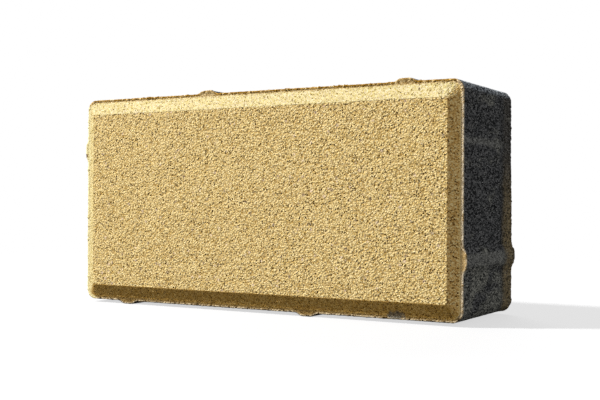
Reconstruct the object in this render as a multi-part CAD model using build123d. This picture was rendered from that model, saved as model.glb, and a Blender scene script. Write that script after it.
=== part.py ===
from build123d import *
import os

# Concrete paver: a pressed rectangular block with a bevelled wearing face and spacer nibs.
# It stands on one long side. X runs along its length, the wearing face looks along -Y, Z is up.
# The origin lies under the middle of the block, on the floor that the lower nibs touch.

# Driving dimensions, in millimetres
length = 198.0  # from end to end, without nibs
width = 98.0  # from long side to long side, without nibs
thickness = 60.0  # from the wearing face to the bed face
corner_radius = 5.0  # rounding of the four corners of the outline

# Rim and bevels of the wearing face
rim_width = 1.5  # flat strip between the outline and the foot of the bevels
bevel_depth = 3.0  # the rim lies this far behind the wearing face
bevel_run_long = 6.1  # bevel along each long side, seen from the front
bevel_run_end = 4.6  # bevel along each end, seen from the front
face_corner_radius = 1.0  # corners of the flat wearing face

# Spacer nibs, which run from the rim to the bed face and keep the joint to the next paver open
nib_height = 1.4
nib_crest = 3.5  # flat top of a nib
nib_flank = 4.4  # each S-shaped side of a nib
nib_root = 1.0  # how deep a nib's section reaches into the block
nib_inset_long = 25.7  # from the right end to the first nib of the upper side
nib_spacing = 100.0  # between the two nibs on a long side
nib_inset_end = 25.0  # from the nearer long side to the nib on each end


def nib_section():
    """One nib seen along its run: a flat crest between two S-shaped flanks of tangent arcs."""
    half_crest = nib_crest / 2
    half_base = half_crest + nib_flank
    flank_middle = (half_crest + nib_flank / 2, nib_height / 2)
    flank = [
        TangentArc((half_base, 0), flank_middle, tangent=(-1, 0)),
        TangentArc((half_crest, nib_height), flank_middle, tangent=(1, 0)),
    ]
    edges = flank + [mirror(arc, Plane.YZ) for arc in flank]
    edges.append(Line((-half_crest, nib_height), (half_crest, nib_height)))
    edges.append(Polyline((-half_base, 0), (-half_base, -nib_root), (half_base, -nib_root), (half_base, 0)))
    return make_face(edges)


def plan_outline():
    """Rounded rectangle with two nibs on each long side and one on each end.

    Each side's nibs are those of the side opposite turned half round, so that between two
    pavers laid side by side a nib never meets a nib.
    """
    nib = nib_section()
    upper_nib = length / 2 - nib_inset_long
    end_nib = width / 2 - nib_inset_end
    placed_nibs = [
        Pos(upper_nib, width / 2) * nib,
        Pos(upper_nib - nib_spacing, width / 2) * nib,
        Pos(length / 2, -end_nib) * Rot(0, 0, -90) * nib,
    ]
    outline = RectangleRounded(length, width, corner_radius)
    for placed_nib in placed_nibs:
        outline += placed_nib
        outline += Rot(0, 0, 180) * placed_nib
    return outline


def bevelled_crown(rim_plane, face_plane):
    """The raised part of the wearing face, with a bevel on each side that rounds each corner."""
    foot = RectangleRounded(length - 2 * rim_width, width - 2 * rim_width, corner_radius - rim_width)
    face = RectangleRounded(
        length - 2 * (rim_width + bevel_run_end),
        width - 2 * (rim_width + bevel_run_long),
        face_corner_radius,
    )
    return loft([rim_plane * foot, face_plane * face], ruled=True)


def paver():
    """The whole block, pressed in one piece."""
    bed_plane = Plane(
        origin=(0, thickness / 2, nib_height + width / 2),
        x_dir=(1, 0, 0),
        z_dir=(0, -1, 0),
    )
    rim_plane = bed_plane.offset(thickness - bevel_depth)
    face_plane = bed_plane.offset(thickness)
    body = extrude(bed_plane * plan_outline(), thickness - bevel_depth, dir=bed_plane.z_dir)
    return body + bevelled_crown(rim_plane, face_plane)


os.makedirs("parts", exist_ok=True)
export_step(paver(), "parts/paver.step")
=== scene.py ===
import math

import bmesh
import bpy
from mathutils import Euler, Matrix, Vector


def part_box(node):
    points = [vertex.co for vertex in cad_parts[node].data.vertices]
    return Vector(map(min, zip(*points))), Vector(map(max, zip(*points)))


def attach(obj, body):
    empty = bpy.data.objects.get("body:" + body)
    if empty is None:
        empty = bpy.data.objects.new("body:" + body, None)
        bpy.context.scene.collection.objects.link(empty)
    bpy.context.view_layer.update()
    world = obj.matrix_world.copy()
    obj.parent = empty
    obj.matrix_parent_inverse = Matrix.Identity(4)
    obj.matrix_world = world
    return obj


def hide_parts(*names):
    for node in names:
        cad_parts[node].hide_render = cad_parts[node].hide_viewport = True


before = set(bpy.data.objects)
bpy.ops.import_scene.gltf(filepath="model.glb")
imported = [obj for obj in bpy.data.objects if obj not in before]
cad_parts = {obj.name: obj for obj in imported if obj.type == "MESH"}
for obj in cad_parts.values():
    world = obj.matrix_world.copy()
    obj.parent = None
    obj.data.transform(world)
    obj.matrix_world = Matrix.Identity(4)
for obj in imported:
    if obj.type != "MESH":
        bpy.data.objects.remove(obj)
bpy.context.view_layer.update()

MM = 0.001

# The block, as it stands on a long side with its wearing face towards -Y
LOW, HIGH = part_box("paver")
NIB_HEIGHT = 1.4 * MM
CORNER_RADIUS = 5.0 * MM
RIM_WIDTH = 1.5 * MM
BEVEL_DEPTH = 3.0 * MM
BEVEL_RUN_LONG = 6.1 * MM
BEVEL_RUN_END = 4.6 * MM
FACE_Y = LOW.y
RIM_Y = FACE_Y + BEVEL_DEPTH
BED_Y = HIGH.y
MIDDLE = (LOW + HIGH) / 2
HALF_LENGTH = (HIGH.x - LOW.x) / 2 - NIB_HEIGHT
HALF_WIDTH = (HIGH.z - LOW.z) / 2 - NIB_HEIGHT
SIDE_Z = MIDDLE.z + HALF_WIDTH
FACE_HALF_LENGTH = HALF_LENGTH - RIM_WIDTH - BEVEL_RUN_END
FACE_HALF_WIDTH = HALF_WIDTH - RIM_WIDTH - BEVEL_RUN_LONG
NIB_HALF_CREST = 1.75 * MM
NIB_HALF_BASE = 6.15 * MM
UPPER_NIBS = (73.3 * MM, -26.7 * MM)
RIGHT_NIB = -24.0 * MM
DRAG_MARK_Z = 75.0 * MM

# Grain of the two concrete mixes
SAND = 0.45 * MM
COARSE_SAND = 0.85 * MM
PIT_SPACING = 1.00 * MM
BEAD = 1.25 * MM
BODY_GRIT = 0.50 * MM
HOLE_SPACING = 1.35 * MM
GRAIN_RISE = 0.29
SEED = 0.37

# Relief that the mesh carries
RELIEF = {
    "Grain height": 0.05 * MM,
    "Pit depth": 0.12 * MM,
    "Drag depth": 0.14 * MM,
    "Hole depth": 0.22 * MM,
    "Crumbled edge": 0.55 * MM,
    "Flash height": 0.40 * MM,
    "Bead height": 0.45 * MM,
}
VOXEL = 0.40 * MM
MOST_TRIANGLES = 196000


# Short ways to build node trees

def put(tree, kind, inputs=None, **settings):
    """Add a node to a tree, with its settings, and set or link its inputs by name or place."""
    node = tree.nodes.new(kind)
    for name, value in settings.items():
        setattr(node, name, value)
    for key, value in (inputs or {}).items():
        if isinstance(value, bpy.types.NodeSocket):
            tree.links.new(value, node.inputs[key])
        else:
            node.inputs[key].default_value = value
    return node


def calc(tree, operation, *values):
    return put(tree, "ShaderNodeMath", dict(enumerate(values)), operation=operation).outputs[0]


def product(tree, first, *others):
    for other in others:
        first = calc(tree, "MULTIPLY", first, other)
    return first


def total(tree, first, *others):
    for other in others:
        first = calc(tree, "ADD", first, other)
    return first


def without(tree, value):
    return calc(tree, "SUBTRACT", 1.0, value)


def vector_calc(tree, operation, *values):
    return put(tree, "ShaderNodeVectorMath", dict(enumerate(values)), operation=operation).outputs[0]


def parts_of(tree, vector):
    return put(tree, "ShaderNodeSeparateXYZ", {0: vector}).outputs


def step(tree, value, start, end, low=0.0, high=1.0):
    """Go smoothly from low to high while the value goes from start to end."""
    inputs = {"Value": value, "From Min": start, "From Max": end, "To Min": low, "To Max": high}
    return put(tree, "ShaderNodeMapRange", inputs, interpolation_type="SMOOTHSTEP").outputs[0]


def cloud(tree, place, size, detail=2.0, roughness=0.5):
    """Cloudy noise from -1 to 1 with features of the given size."""
    inputs = {"Vector": place, "Scale": 1.0 / size, "Detail": detail, "Roughness": roughness}
    value = put(tree, "ShaderNodeTexNoise", inputs).outputs[0]
    return calc(tree, "MULTIPLY_ADD", value, 2.0, -1.0)


def bent(tree, place, size, amount):
    """Place shifted by noise, so that patterns on it lose their even outlines."""
    colour = put(tree, "ShaderNodeTexNoise", {"Vector": place, "Scale": 1.0 / size}).outputs["Color"]
    about_zero = vector_calc(tree, "SUBTRACT", colour, (0.5, 0.5, 0.5))
    shift = put(tree, "ShaderNodeVectorMath", {0: about_zero, "Scale": amount}, operation="SCALE")
    return vector_calc(tree, "ADD", place, shift.outputs[0])


def grains(tree, place, size):
    """Packed grains: each point's distance to the middle of its grain, and two chance values of the grain."""
    node = put(tree, "ShaderNodeTexVoronoi", {"Vector": place, "Scale": 1.0 / size})
    chance, other_chance, _ = parts_of(tree, node.outputs["Color"])
    return node.outputs["Distance"], chance, other_chance


def spots(tree, place, spacing, rarity, small, large):
    """Scattered round spots. Small and large are radii in spacings, and rarity is the share left out."""
    distance, chance, _ = grains(tree, place, spacing)
    radius = step(tree, chance, rarity, 1.0, small, large)
    shape = step(tree, calc(tree, "SUBTRACT", distance, radius), 0.07, -0.07)
    return product(tree, shape, step(tree, chance, rarity - 0.03, rarity + 0.03))


# Where things lie on the block, told by place alone, for the relief and the finish alike

def nib_rise(tree, place):
    """How far the nibs lift the outline. Each side is the one opposite turned half round."""
    x, _, z = parts_of(tree, place)
    up = calc(tree, "SUBTRACT", z, MIDDLE.z)
    along_side = product(tree, x, calc(tree, "SIGN", up))
    along_end = product(tree, up, calc(tree, "SIGN", x))
    rises = []
    for along, middle in ((along_side, UPPER_NIBS[0]), (along_side, UPPER_NIBS[1]), (along_end, RIGHT_NIB)):
        off_middle = calc(tree, "ABSOLUTE", calc(tree, "SUBTRACT", along, middle))
        rises.append(step(tree, off_middle, NIB_HALF_BASE, NIB_HALF_CREST, 0.0, NIB_HEIGHT))
    by_side = step(tree, calc(tree, "ABSOLUTE", up), HALF_WIDTH - 5 * MM, HALF_WIDTH - 2 * MM)
    by_end = step(tree, calc(tree, "ABSOLUTE", x), HALF_LENGTH - 5 * MM, HALF_LENGTH - 2 * MM)
    on_side = product(tree, total(tree, rises[0], rises[1]), by_side)
    return total(tree, on_side, product(tree, rises[2], by_end))


def depth_inside_outline(tree, place):
    """How far a point lies inside the block's rounded outline without nibs, seen along Y."""
    centred = vector_calc(tree, "SUBTRACT", place, (0.0, 0.0, MIDDLE.z))
    flat = vector_calc(tree, "MULTIPLY", vector_calc(tree, "ABSOLUTE", centred), (1.0, 0.0, 1.0))
    straight = (HALF_LENGTH - CORNER_RADIUS, 0.0, HALF_WIDTH - CORNER_RADIUS)
    past = vector_calc(tree, "SUBTRACT", flat, straight)
    past_x, _, past_z = parts_of(tree, past)
    corner = vector_calc(tree, "MAXIMUM", past, (0.0, 0.0, 0.0))
    around_corner = put(tree, "ShaderNodeVectorMath", {0: corner}, operation="LENGTH").outputs["Value"]
    along_side = calc(tree, "MINIMUM", calc(tree, "MAXIMUM", past_x, past_z), 0.0)
    return calc(tree, "SUBTRACT", CORNER_RADIUS, total(tree, around_corner, along_side))


def depth_from_edge(tree, place):
    """How far a point lies inside the outline with its nibs."""
    return total(tree, depth_inside_outline(tree, place), nib_rise(tree, place))


def depth_inside_face(tree, place):
    """How far a point lies inside the fold between the bevels and the wearing face."""
    x, _, z = parts_of(tree, place)
    from_end = calc(tree, "SUBTRACT", FACE_HALF_LENGTH, calc(tree, "ABSOLUTE", x))
    up = calc(tree, "SUBTRACT", z, MIDDLE.z)
    from_side = calc(tree, "SUBTRACT", FACE_HALF_WIDTH, calc(tree, "ABSOLUTE", up))
    return calc(tree, "MINIMUM", from_end, from_side)


def sand_place(tree, place):
    """Place on the front, seen along Y, so that the relief doesn't shift its own pattern."""
    flat = vector_calc(tree, "MULTIPLY", place, (1.0, 0.0, 1.0))
    return bent(tree, vector_calc(tree, "ADD", flat, (SEED, SEED, SEED)), 0.9 * MM, 0.5 * MM)


def side_place(tree, place):
    """Place on the sides, drawn out along Y, the way the block slid out of its mould."""
    drawn = vector_calc(tree, "MULTIPLY", place, (1.0, 0.45, 1.0))
    return bent(tree, vector_calc(tree, "ADD", drawn, (SEED, SEED, SEED)), 1.4 * MM, 0.9 * MM)


def face_pits(tree, on_sand):
    return spots(tree, on_sand, PIT_SPACING, 0.28, 0.16, 0.34)


def on_right_end(tree, place):
    """1 on the end that faces +X, fading to 0 a few millimetres inside it."""
    return step(tree, parts_of(tree, place)[0], HALF_LENGTH - 4 * MM, HALF_LENGTH - 2 * MM)


def open_patches(tree, place, on_side):
    """Parts of the sides where the body mix was too dry to close, fewer of them low on the right end."""
    low = step(tree, parts_of(tree, place)[2], 34 * MM, 18 * MM)
    low = product(tree, low, on_right_end(tree, place))
    dryness = step(tree, low, 0.0, 1.0, 0.25, -0.08)
    return step(tree, total(tree, cloud(tree, on_side, 9 * MM, 4.0, 0.65), dryness), -0.16, 0.16)


def side_holes(tree, on_side, openness):
    holes = spots(tree, on_side, HOLE_SPACING, 0.30, 0.12, 0.38)
    return product(tree, holes, step(tree, openness, 0.0, 1.0, 0.35, 1.0))


# Relief

def pressed_concrete_tree():
    """Geometry Nodes tree that gives the smooth block its pressed concrete surface."""
    tree = bpy.data.node_groups.new("pressed concrete", "GeometryNodeTree")
    ask = tree.interface.new_socket
    ask("Block", in_out="INPUT", socket_type="NodeSocketGeometry")
    for name in RELIEF:
        ask(name, in_out="INPUT", socket_type="NodeSocketFloat")
    ask("Concrete", in_out="INPUT", socket_type="NodeSocketMaterial")
    ask("Paver", in_out="OUTPUT", socket_type="NodeSocketGeometry")
    given = put(tree, "NodeGroupInput").outputs
    place = put(tree, "GeometryNodeInputPosition").outputs[0]
    normal = put(tree, "GeometryNodeInputNormal").outputs[0]
    x, y, z = parts_of(tree, place)
    facing_back = parts_of(tree, normal)[1]
    on_sand = sand_place(tree, place)
    on_side = side_place(tree, place)

    # Which kind of surface a point is on
    front = step(tree, facing_back, -0.35, -0.7)
    bed = step(tree, facing_back, 0.35, 0.7)
    side = without(tree, total(tree, front, bed))
    face = step(tree, depth_inside_face(tree, place), -0.2 * MM, 0.4 * MM)

    # Wearing face and bevels: packed sand with pits, much fainter on the bevels
    dome, _, _ = grains(tree, on_sand, COARSE_SAND)
    rough = total(tree, calc(tree, "MULTIPLY", dome, -1.4), cloud(tree, on_sand, 2.4 * MM), 0.2)
    sandy = product(tree, rough, given["Grain height"])
    pitted = product(tree, face_pits(tree, on_sand), given["Pit depth"])
    amount = product(tree, front, step(tree, face, 0.0, 1.0, 0.35, 1.0))
    front_relief = product(tree, calc(tree, "SUBTRACT", sandy, pitted), amount)

    # Sides and bed: dragged along the mould, with holes, and crumbled along the bed's edges
    drag = calc(tree, "SUBTRACT", cloud(tree, on_side, 2.0 * MM, 3.0, 0.6), 0.1)
    dragged = product(tree, drag, given["Drag depth"])
    holes = side_holes(tree, on_side, open_patches(tree, place, on_side))
    holed = product(tree, holes, given["Hole depth"])
    near_bed = step(tree, y, BED_Y - 2.5 * MM, BED_Y - 0.3 * MM)
    from_edge = depth_from_edge(tree, place)
    near_edge = step(tree, from_edge, 2.5 * MM, 0.3 * MM)
    crumbs = step(tree, cloud(tree, on_side, 1.5 * MM, 2.0, 0.6), 0.0, 0.55)
    low = step(tree, z, 75 * MM, 45 * MM)
    crumbs = product(tree, crumbs, step(tree, low, 0.0, 1.0, 0.6, 0.3))
    crumbled = product(tree, near_bed, near_edge, crumbs, given["Crumbled edge"])
    bead, chance, _ = grains(tree, on_side, BEAD)
    lumps = product(tree, step(tree, bead, 0.6, 0.1), step(tree, chance, 0.3, 0.9, 0.2, 0.75))
    lumps = total(tree, lumps, step(tree, low, 0.0, 1.0, 0.3, 1.0))
    feather = product(tree, near_bed, near_edge, lumps, given["Bead height"])
    body_relief = calc(tree, "SUBTRACT", total(tree, dragged, feather), total(tree, holed, crumbled))
    body_relief = product(tree, body_relief, total(tree, side, bed))

    # Rim: a low ragged lip and beads squeezed out along its outer edge, most of all at the left end
    outer = step(tree, from_edge, RIM_WIDTH, 0.2 * MM)
    ragged = step(tree, cloud(tree, on_sand, 2.0 * MM, 2.0), -0.5, 0.5, 0.2, 1.1)
    left = step(tree, x, 4 * MM - HALF_LENGTH, 2 * MM - HALF_LENGTH)
    right = on_right_end(tree, place)
    below = step(tree, z, NIB_HEIGHT + 3 * MM, NIB_HEIGHT + MM)
    flash = product(tree, outer, ragged, step(tree, y, RIM_Y + 1.2 * MM, RIM_Y + 0.1 * MM))
    flash = product(tree, flash, without(tree, left), given["Flash height"])
    bead, chance, _ = grains(tree, on_sand, BEAD)
    beads = product(tree, step(tree, bead, 0.6, 0.1), step(tree, chance, 0.25, 0.8))
    beads = product(tree, beads, step(tree, below, 0.0, 1.0, 1.0, 0.3))
    beads = total(tree, beads, product(tree, left, 0.5))
    by_rim = product(tree, outer, step(tree, y, RIM_Y + 2.2 * MM, RIM_Y + 0.6 * MM))
    beads = product(tree, beads, by_rim, step(tree, right, 0.0, 1.0, 0.85, 0.1), given["Bead height"])

    relief = total(tree, front_relief, body_relief, beads)
    outwards = put(tree, "ShaderNodeVectorMath", {0: normal, "Scale": relief}, operation="SCALE").outputs[0]
    forwards = put(tree, "ShaderNodeCombineXYZ", {1: product(tree, flash, -1.0)}).outputs[0]
    offset_x, offset_y, offset_z = parts_of(tree, vector_calc(tree, "ADD", outwards, forwards))
    onto_floor = calc(tree, "MAXIMUM", offset_z, product(tree, z, -1.0))
    offset = put(tree, "ShaderNodeCombineXYZ", {0: offset_x, 1: offset_y, 2: onto_floor}).outputs[0]
    moved = put(tree, "GeometryNodeSetPosition", {"Geometry": given["Block"], "Offset": offset})
    smooth = put(tree, "GeometryNodeSetShadeSmooth", {"Geometry": moved.outputs[0]})
    real = put(tree, "GeometryNodeRealizeInstances", {"Geometry": smooth.outputs[0]})
    concrete = {"Geometry": real.outputs[0], "Material": given["Concrete"]}
    painted = put(tree, "GeometryNodeSetMaterial", concrete)
    put(tree, "NodeGroupOutput", {0: painted.outputs[0]})
    return tree


# Finish

def srgb(red, green, blue):
    """Colour as seen on screen, 0 to 255, in the linear values that shaders take."""
    def linear(value):
        value /= 255.0
        return value / 12.92 if value <= 0.04045 else ((value + 0.055) / 1.055) ** 2.4
    return (linear(red), linear(green), linear(blue), 1.0)


def mixed(tree, amount, first, second):
    """First colour where the amount is 0, second where it is 1."""
    node = put(tree, "ShaderNodeMix", {0: amount}, data_type="RGBA")
    for key, value in ((6, first), (7, second)):
        if isinstance(value, bpy.types.NodeSocket):
            tree.links.new(value, node.inputs[key])
        else:
            node.inputs[key].default_value = value
    return node.outputs[2]


def ramp(tree, value, *colours):
    """Colour ramp through (value, colour) pairs."""
    node = put(tree, "ShaderNodeValToRGB", {0: value})
    elements = node.color_ramp.elements
    while len(elements) < len(colours):
        elements.new(1.0)
    for element, (at, colour) in zip(elements, colours):
        element.position = at
        element.color = colour
    return node.outputs[0]


def shifted(tree, place, by):
    """The same place in another part of a pattern."""
    return vector_calc(tree, "ADD", place, (by, by, by))


def facing_mix(tree, place, normal):
    """Colour and fine relief, in millimetres, of the yellow sandy front."""
    x, _, z = parts_of(tree, place)
    on_sand = sand_place(tree, place)
    inside = depth_inside_outline(tree, place)
    from_edge = depth_from_edge(tree, place)
    on_face = step(tree, depth_inside_face(tree, place), -0.1 * MM, 0.1 * MM)
    below = step(tree, z, NIB_HEIGHT + 3 * MM, NIB_HEIGHT + 2 * MM)
    right_end = step(tree, x, HALF_LENGTH - 4 * MM, HALF_LENGTH - 2.5 * MM)
    on_rim = step(tree, inside, RIM_WIDTH + 0.25 * MM, RIM_WIDTH - 0.35 * MM)
    _, chance, hue = grains(tree, on_sand, SAND)
    dome, lump_chance, _ = grains(tree, on_sand, COARSE_SAND)
    fine = cloud(tree, on_sand, 0.4 * MM, 2.0, 0.6)

    # Wearing face: sand grains of many tones, painted shade in the gaps between grains and in the dark pits,
    # a few grey and pale grits
    sand = ramp(
        tree, chance,
        (0.0, srgb(150, 114, 48)), (0.15, srgb(214, 183, 111)), (0.5, srgb(241, 214, 148)),
        (0.8, srgb(246, 221, 158)), (1.0, srgb(250, 229, 175)),
    )
    sand = mixed(tree, step(tree, hue, 0.8, 1.0, 0.0, 0.3), sand, srgb(222, 190, 150))
    # Painted shade: the gaps between the coarse grains darkened to ochre brown
    sand = mixed(tree, step(tree, dome, 0.40, 0.70, 0.0, 0.5), sand, srgb(158, 117, 46))
    grey_grit = spots(tree, shifted(tree, on_sand, 0.1), 2.3 * MM, 0.93, 0.2, 0.33)
    pale_grit = spots(tree, shifted(tree, on_sand, 0.2), 2.1 * MM, 0.90, 0.2, 0.34)
    sand = mixed(tree, product(tree, grey_grit, 0.6), sand, srgb(138, 118, 106))
    sand = mixed(tree, product(tree, pale_grit, 0.6), sand, srgb(226, 200, 176))
    pits = face_pits(tree, on_sand)
    # Painted shade: the pits darkened to deep brown, over their real relief
    sand = mixed(tree, product(tree, pits, 0.92), sand, srgb(60, 34, 0))

    # Bevels: closed sand with painted light and shade, paler cream where they face the light up and left,
    # deeper ochre where they face away down and right, with other tones for the sides facing right and left
    ochre = ramp(
        tree, chance,
        (0.0, srgb(116, 80, 24)), (0.2, srgb(190, 145, 66)),
        (0.6, srgb(216, 170, 84)), (1.0, srgb(238, 200, 122)),
    )
    ochre = mixed(tree, step(tree, hue, 0.7, 1.0, 0.0, 0.3), ochre, srgb(210, 168, 122))
    cream = ramp(
        tree, chance,
        (0.0, srgb(112, 88, 34)), (0.2, srgb(184, 166, 108)),
        (0.6, srgb(207, 191, 138)), (1.0, srgb(228, 214, 175)),
    )
    cream = mixed(tree, step(tree, hue, 0.6, 1.0, 0.0, 0.5), cream, srgb(210, 194, 174))
    cream = mixed(tree, step(tree, hue, 0.4, 0.0, 0.0, 0.4), cream, srgb(212, 188, 100))
    # Painted light and shade: the colour follows which way each bevel faces the lamp
    up_left = (-0.6, 0.0, 0.8)
    towards_light = put(tree, "ShaderNodeVectorMath", {0: normal, 1: up_left}, operation="DOT_PRODUCT")
    painted_light_side = step(tree, towards_light.outputs["Value"], -0.25, 0.25)
    facing_x = parts_of(tree, normal)[0]
    pale_ochre = ramp(
        tree, chance,
        (0.0, srgb(96, 62, 16)), (0.25, srgb(204, 160, 90)),
        (0.6, srgb(238, 195, 118)), (1.0, srgb(255, 232, 170)),
    )
    ochre = mixed(tree, step(tree, facing_x, 0.2, 0.5), ochre, pale_ochre)
    golden = ramp(
        tree, chance,
        (0.0, srgb(104, 78, 26)), (0.25, srgb(185, 164, 102)),
        (0.6, srgb(209, 190, 132)), (1.0, srgb(230, 213, 166)),
    )
    cream = mixed(tree, step(tree, facing_x, -0.2, -0.5), cream, golden)
    bevel = mixed(tree, painted_light_side, ochre, cream)
    # Painted light: a bright strip along the foot of the right bevel, next to the rim
    painted_light_foot = product(tree, right_end, step(tree, inside, RIM_WIDTH + 0.55 * MM, RIM_WIDTH))
    bevel = mixed(tree, painted_light_foot, bevel, srgb(255, 224, 152))
    flecks = spots(tree, shifted(tree, on_sand, 0.3), 1.3 * MM, 0.50, 0.14, 0.26)
    bevel = mixed(tree, product(tree, flecks, 0.85), bevel, srgb(84, 56, 14))

    # A smear of body mix on the lower bevel
    smear_at = vector_calc(tree, "SUBTRACT", place, (70 * MM, RIM_Y, NIB_HEIGHT + 1.8 * MM))
    smear_at = vector_calc(tree, "MULTIPLY", smear_at, (0.45, 0.0, 1.0))
    from_smear = put(tree, "ShaderNodeVectorMath", {0: smear_at}, operation="LENGTH").outputs["Value"]
    from_smear = total(tree, from_smear, product(tree, cloud(tree, on_sand, 1.6 * MM), 1.6 * MM))
    smear = step(tree, from_smear, 2.2 * MM, 1.2 * MM, 0.0, 0.8)

    # Rim: mottled, with brown beads along its edge that carry painted shade standing for a lip's shadow on
    # the top rim, cream at the left, pale at the right, soiled below
    rim = ramp(
        tree, chance,
        (0.0, srgb(104, 74, 28)), (0.4, srgb(176, 144, 86)), (1.0, srgb(222, 200, 152)),
    )
    # Painted shade: the rim's outer edge darkened to brown, less of it on the nibs
    beads_in_painted_shade = ramp(
        tree, lump_chance,
        (0.0, srgb(132, 95, 22)), (0.5, srgb(156, 116, 36)),
        (0.8, srgb(186, 148, 76)), (1.0, srgb(232, 208, 156)),
    )
    off_nibs = step(tree, nib_rise(tree, place), 0.2 * MM, MM, 1.0, 0.45)
    rim = mixed(tree, product(tree, off_nibs, step(tree, from_edge, 1.1 * MM, 0.6 * MM)), rim, beads_in_painted_shade)
    tan = ramp(
        tree, chance,
        (0.0, srgb(142, 115, 74)), (0.4, srgb(200, 177, 138)), (1.0, srgb(222, 203, 168)),
    )
    tan = mixed(tree, step(tree, nib_rise(tree, place), 0.2 * MM, MM, 0.0, 0.7), tan, srgb(170, 138, 80))
    rim = mixed(tree, product(tree, right_end, 0.9), rim, tan)
    between_corners = product(
        tree, step(tree, z, SIDE_Z - 5 * MM, SIDE_Z - 8 * MM),
        step(tree, z, NIB_HEIGHT + 2 * MM, NIB_HEIGHT + 5 * MM),
    )
    pale_beads = product(tree, step(tree, from_edge, 1.0 * MM, 0.4 * MM), step(tree, lump_chance, 0.15, 0.4))
    pale_beads = product(tree, pale_beads, right_end, between_corners, product(tree, off_nibs, 0.7))
    rim = mixed(tree, pale_beads, rim, srgb(212, 202, 182))
    soil = ramp(tree, chance, (0.0, srgb(64, 46, 20)), (0.4, srgb(116, 90, 46)), (1.0, srgb(140, 114, 66)))
    dust = ramp(
        tree, lump_chance,
        (0.1, srgb(30, 22, 10)), (0.3, srgb(136, 116, 84)), (0.9, srgb(206, 188, 154)),
    )
    soil = mixed(tree, step(tree, from_edge, 1.0 * MM, 0.6 * MM), soil, dust)
    rim = mixed(tree, product(tree, below, 0.95), rim, soil)
    left_end = step(tree, x, 7 * MM - HALF_LENGTH, 3 * MM - HALF_LENGTH)
    left_end = product(tree, left_end, step(tree, z, SIDE_Z - 1.5 * MM, SIDE_Z - 4 * MM))
    pale_cream = ramp(
        tree, chance,
        (0.0, srgb(150, 124, 60)), (0.15, srgb(232, 215, 152)), (1.0, srgb(244, 231, 182)),
    )
    speck_at = vector_calc(tree, "SUBTRACT", place, (-HALF_LENGTH - NIB_HEIGHT, RIM_Y, 72.1 * MM))
    from_speck = put(tree, "ShaderNodeVectorMath", {0: speck_at}, operation="LENGTH").outputs["Value"]
    pale_cream = mixed(tree, step(tree, from_speck, 1.3 * MM, 0.9 * MM), pale_cream, srgb(104, 70, 24))
    rim = mixed(tree, left_end, rim, pale_cream)

    colour = mixed(tree, on_rim, mixed(tree, on_face, bevel, sand), rim)
    smeared = ramp(tree, chance, (0.0, srgb(60, 58, 52)), (1.0, srgb(140, 136, 124)))
    colour = mixed(tree, smear, colour, smeared)

    # The face and the rim are rough, and so is the upper right corner; the bevels were pressed smooth
    to_corner = vector_calc(tree, "SUBTRACT", place, (HALF_LENGTH - 3 * MM, RIM_Y, SIDE_Z - 4 * MM))
    to_corner = vector_calc(tree, "MULTIPLY", to_corner, (1.0, 0.0, 1.0))
    to_corner = put(tree, "ShaderNodeVectorMath", {0: to_corner}, operation="LENGTH").outputs["Value"]
    rough_corner = step(tree, to_corner, 8 * MM, 5 * MM)
    even = total(tree, product(tree, dome, -0.05), product(tree, fine, 0.02), product(tree, flecks, -0.1))
    rough = total(
        tree, product(tree, dome, -GRAIN_RISE), product(tree, fine, 0.05), product(tree, pits, -0.25),
    )
    ends = calc(tree, "MAXIMUM", left_end, product(tree, right_end, 0.5))
    rough_rim = product(tree, on_rim, without(tree, ends), 0.55)
    roughness = calc(tree, "MAXIMUM", calc(tree, "MAXIMUM", on_face, rough_rim), rough_corner)
    height = total(tree, even, product(tree, roughness, calc(tree, "SUBTRACT", rough, even)))
    return colour, height


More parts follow.
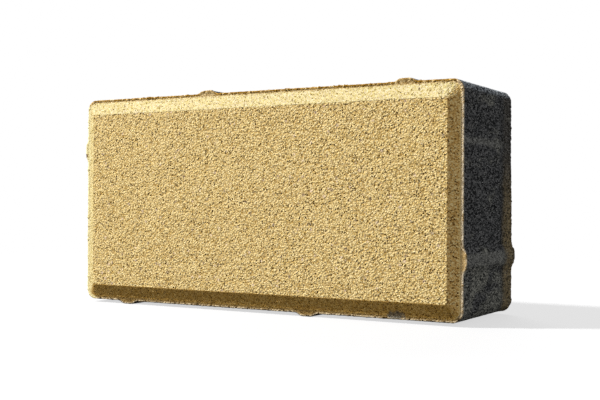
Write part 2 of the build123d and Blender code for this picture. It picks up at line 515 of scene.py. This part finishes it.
def body_mix(tree, place, normal):
    """Colour and fine relief, in millimetres, of the dark grey sides and bed."""
    x, y, z = parts_of(tree, place)
    on_side = side_place(tree, place)
    openness = open_patches(tree, place, on_side)
    dome, chance, hue = grains(tree, on_side, BODY_GRIT)

    # Closed and open concrete, with holes painted near black: painted shade in them, over their real relief
    closed = ramp(
        tree, chance,
        (0.0, srgb(0, 0, 0)), (0.25, srgb(74, 75, 72)),
        (0.6, srgb(130, 130, 123)), (1.0, srgb(174, 173, 163)),
    )
    opened = ramp(
        tree, chance,
        (0.0, srgb(0, 0, 0)), (0.25, srgb(26, 27, 28)),
        (0.6, srgb(84, 85, 86)), (1.0, srgb(132, 132, 132)),
    )
    colour = mixed(tree, openness, closed, opened)
    holes = side_holes(tree, on_side, openness)
    # Painted shade: the holes darkened near black
    colour = mixed(tree, product(tree, holes, 0.92), colour, srgb(12, 12, 12))

    # Pale on the right end: one mark across it rubbed by the mould, and a painted highlight along the crest
    # of its nib, where it faces up into the light
    ragged_z = total(tree, z, product(tree, cloud(tree, on_side, 3 * MM), 1.5 * MM))
    off_mark = calc(tree, "ABSOLUTE", calc(tree, "SUBTRACT", ragged_z, DRAG_MARK_Z))
    drag_mark = step(tree, off_mark, 2.2 * MM, 0.8 * MM)
    drag_mark = product(tree, drag_mark, step(tree, y, BED_Y - 7 * MM, BED_Y - 14 * MM))
    # Painted highlight: the nib's crest made pale where it faces up
    crest_highlight = step(tree, nib_rise(tree, place), 0.75 * NIB_HEIGHT, NIB_HEIGHT)
    pale_rub_and_highlight = ramp(
        tree, chance,
        (0.0, srgb(64, 64, 62)), (0.4, srgb(126, 126, 122)), (1.0, srgb(164, 164, 158)),
    )
    rubs_and_crest_highlight = product(tree, calc(tree, "MAXIMUM", drag_mark, crest_highlight), on_right_end(tree, place), 0.7)
    colour = mixed(tree, rubs_and_crest_highlight, colour, pale_rub_and_highlight)

    # Darker towards the bed, with brown dirt along its edges, more of it low down
    blotch = product(tree, cloud(tree, on_side, 5 * MM), 2.5 * MM)
    from_bed = calc(tree, "SUBTRACT", total(tree, BED_Y, blotch), y)
    colour = mixed(tree, step(tree, from_bed, 17 * MM, 12 * MM, 0.0, 0.35), colour, srgb(36, 36, 35))
    dust = product(tree, step(tree, from_bed, 13 * MM, 7 * MM), step(tree, z, 75 * MM, 40 * MM, 0.1, 0.9))
    dust = product(tree, dust, step(tree, depth_inside_outline(tree, place), 7 * MM, 2 * MM))
    dirt = ramp(
        tree, chance,
        (0.0, srgb(36, 30, 20)), (0.3, srgb(116, 102, 74)), (1.0, srgb(176, 156, 118)),
    )
    colour = mixed(tree, product(tree, dust, step(tree, hue, 0.0, 0.5, 0.4, 1.0)), colour, dirt)

    # Painted highlight: pale bluish sky light on the rounded upper corner of the right end, where it faces up
    normal_x, _, normal_z = parts_of(tree, normal)
    # Painted highlight, chosen by how far the normal leans between the end and the top
    corner = step(tree, calc(tree, "ABSOLUTE", product(tree, normal_x, normal_z)), 0.15, 0.45, 0.0, 0.52)
    corner = product(tree, corner, step(tree, z, SIDE_Z - 7 * MM, SIDE_Z - 4 * MM))
    corner = product(tree, corner, step(tree, x, HALF_LENGTH - 7 * MM, HALF_LENGTH - 4 * MM))
    sky_highlight_colour = ramp(
        tree, chance,
        (0.0, srgb(6, 8, 10)), (0.4, srgb(100, 106, 112)), (1.0, srgb(220, 230, 238)),
    )
    colour = mixed(tree, corner, colour, sky_highlight_colour)

    tone = cloud(tree, on_side, 2.0 * MM, 3.0, 0.65)
    height = total(tree, product(tree, dome, -0.15), product(tree, tone, 0.12), product(tree, holes, -0.3))
    return colour, height


def two_mix_concrete():
    """Yellow sandy facing mix over a dark grey body mix, told apart by place."""
    material = bpy.data.materials.new("two-mix concrete")
    material.use_nodes = True
    tree = material.node_tree
    tree.nodes.clear()
    place = put(tree, "ShaderNodeTexCoord").outputs["Object"]
    normal = put(tree, "ShaderNodeNewGeometry").outputs["Normal"]
    facing_colour, facing_height = facing_mix(tree, place, normal)
    body_colour, body_height = body_mix(tree, place, normal)

    # The facing ends in a frayed line just behind the rim
    y = parts_of(tree, place)[1]
    sideways = step(tree, parts_of(tree, normal)[1], -0.7, -0.2, 0.0, 0.4 * MM)
    fray = product(tree, cloud(tree, side_place(tree, place), 0.9 * MM), 0.35 * MM)
    frayed_y = total(tree, y, sideways, fray)
    in_facing = step(tree, frayed_y, RIM_Y + 0.5 * MM, RIM_Y + 0.2 * MM)
    colour = mixed(tree, in_facing, body_colour, facing_colour)
    difference = calc(tree, "SUBTRACT", facing_height, body_height)
    height = total(tree, body_height, product(tree, in_facing, difference))
    bump = put(tree, "ShaderNodeBump", {"Strength": 1.0, "Distance": MM, "Height": height})
    shader = put(tree, "ShaderNodeBsdfPrincipled", {
        "Base Color": colour,
        "Roughness": 0.95,
        "Specular IOR Level": 0.04,
        "Normal": bump.outputs[0],
    })
    put(tree, "ShaderNodeOutputMaterial", {"Surface": shader.outputs[0]})
    return material


# The paver

def show(name, data):
    """Put a mesh, lamp or camera into the scene as an object at the origin."""
    thing = bpy.data.objects.new(name, data)
    bpy.context.scene.collection.objects.link(thing)
    return thing


def settle(thing):
    """Turn what an object's modifiers make into its plain mesh."""
    evaluated = thing.evaluated_get(bpy.context.evaluated_depsgraph_get())
    mesh = bpy.data.meshes.new_from_object(evaluated)
    thing.modifiers.clear()
    thing.data = mesh


def set_inputs(modifier, values):
    for item in modifier.node_group.interface.items_tree:
        if item.item_type == "SOCKET" and item.in_out == "INPUT" and item.name in values:
            modifier[item.identifier] = values[item.name]


def keeps_detail(point):
    """Whether a point lies on the rim or its edge, or on the fold around the face, which stay fine."""
    off_x, off_z = abs(point.x), abs(point.z - MIDDLE.z)
    on_rim = off_x > HALF_LENGTH - RIM_WIDTH or off_z > HALF_WIDTH - RIM_WIDTH
    from_fold = min(FACE_HALF_LENGTH - off_x, FACE_HALF_WIDTH - off_z)
    return point.y < RIM_Y + 1.5 * MM and (on_rim or abs(from_fold) < 0.8 * MM)


def make_paver():
    joined = bmesh.new()
    joined.from_mesh(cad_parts["paver"].data)
    bmesh.ops.remove_doubles(joined, verts=joined.verts, dist=0.001 * MM)
    mesh = bpy.data.meshes.new("paver block")
    joined.to_mesh(mesh)
    joined.free()
    paver = show("paver_block", mesh)

    even = paver.modifiers.new("even grid", "REMESH")
    even.mode = "VOXEL"
    even.voxel_size = VOXEL
    settle(paver)

    pressed = paver.modifiers.new("pressed concrete", "NODES")
    pressed.node_group = pressed_concrete_tree()
    set_inputs(pressed, RELIEF | {"Concrete": two_mix_concrete()})
    settle(paver)

    thinned = paver.vertex_groups.new(name="thinned out")
    thinned.add([v.index for v in paver.data.vertices if not keeps_detail(v.co)], 1.0, "REPLACE")
    triangles = sum(len(p.vertices) - 2 for p in paver.data.polygons)
    thin = paver.modifiers.new("thin out", "DECIMATE")
    thin.ratio = min(1.0, MOST_TRIANGLES / triangles)
    thin.vertex_group = thinned.name
    settle(paver)
    paver.vertex_groups.clear()

    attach(paver, "root")
    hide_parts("paver")
    return paver


# Stage

def seen_directly(tree):
    """1 for rays from the camera or by way of a mirror or glass, else 0."""
    rays = put(tree, "ShaderNodeLightPath").outputs
    bounced = calc(tree, "MAXIMUM", rays["Is Glossy Ray"], rays["Is Transmission Ray"])
    return calc(tree, "MAXIMUM", rays["Is Camera Ray"], bounced)


def plain_floor():
    mesh = bpy.data.meshes.new("floor")
    reach = 12.0
    corners = [(-reach, -reach, 0), (reach, -reach, 0), (reach, reach, 0), (-reach, reach, 0)]
    mesh.from_pydata(corners, [], [(0, 1, 2, 3)])
    material = bpy.data.materials.new("pale floor")
    material.use_nodes = True
    tree = material.node_tree
    tree.nodes.clear()
    dull = put(tree, "ShaderNodeBsdfDiffuse", {"Color": (0.06, 0.06, 0.06, 1.0)})
    pale = put(tree, "ShaderNodeBsdfDiffuse", {"Color": (0.6, 0.6, 0.6, 1.0)})
    white = put(tree, "ShaderNodeEmission", {"Color": (1.0, 1.0, 1.0, 1.0), "Strength": 1.0})
    place = put(tree, "ShaderNodeTexCoord").outputs["Object"]
    away = put(tree, "ShaderNodeVectorMath", {0: place}, operation="LENGTH").outputs["Value"]
    whiteness = step(tree, away, 0.25, 0.55, 0.65, 1.0)
    paper = put(tree, "ShaderNodeMixShader", {0: whiteness, 1: pale.outputs[0], 2: white.outputs[0]})
    seen = seen_directly(tree)
    floor = put(tree, "ShaderNodeMixShader", {0: seen, 1: dull.outputs[0], 2: paper.outputs[0]})
    put(tree, "ShaderNodeOutputMaterial", {"Surface": floor.outputs[0]})
    mesh.materials.append(material)
    show("floor", mesh)


def turned_to_paver(lamp, towards):
    """Turn a lamp that stands in the given direction so that it shines on the paver."""
    lamp.rotation_mode = "QUATERNION"
    lamp.rotation_quaternion = Vector(towards).to_track_quat("Z", "Y")


def fill_lamp(name, towards, strength, spread):
    """Far lamp in the given direction, with its spread in degrees."""
    data = bpy.data.lights.new(name, "SUN")
    data.energy = strength
    data.angle = math.radians(spread)
    turned_to_paver(show(name, data), towards)


def near_lamp(name, towards, distance, power, size):
    """Round soft lamp that stands at the given distance in the given direction."""
    data = bpy.data.lights.new(name, "AREA")
    data.shape = "DISK"
    data.energy = power
    data.size = size
    lamp = show(name, data)
    lamp.location = MIDDLE + Vector(towards).normalized() * distance
    turned_to_paver(lamp, towards)


def white_surround(ambient):
    world = bpy.data.worlds.new("white surround")
    bpy.context.scene.world = world
    world.use_nodes = True
    tree = world.node_tree
    tree.nodes.clear()
    strength = calc(tree, "MULTIPLY_ADD", seen_directly(tree), 1.0 - ambient, ambient)
    background = put(tree, "ShaderNodeBackground", {"Color": (1.0, 1.0, 1.0, 1.0), "Strength": strength})
    put(tree, "ShaderNodeOutputWorld", {"Surface": background.outputs[0]})


def camera():
    data = bpy.data.cameras.new("camera")
    data.sensor_width = 36.0
    data.lens = 60.06
    data.clip_start = 0.01
    viewer = show("camera", data)
    viewer.location = (244.79 * MM, -402.48 * MM, 48.05 * MM + NIB_HEIGHT)
    pan, tilt, roll = math.radians(30.53), math.radians(0.14), math.radians(0.27)
    turn = Euler((math.pi / 2 + tilt, 0.0, pan)).to_matrix() @ Euler((0.0, 0.0, roll)).to_matrix()
    viewer.rotation_euler = turn.to_euler()
    bpy.context.scene.camera = viewer


make_paver()
plain_floor()
near_lamp("key from the upper left", (-0.62, -0.366, 0.694), distance=2.8, power=158.0, size=0.3)
fill_lamp("fill from the right", (0.75, -0.55, 0.35), strength=0.55, spread=40.0)
fill_lamp("fill from behind", (-0.4, 0.75, 0.55), strength=1.8, spread=40.0)
white_surround(ambient=0.2)
camera()
bpy.context.scene.view_settings.view_transform = "Standard"
bpy.context.scene.cycles.use_denoising = False  # it would smooth the sand away
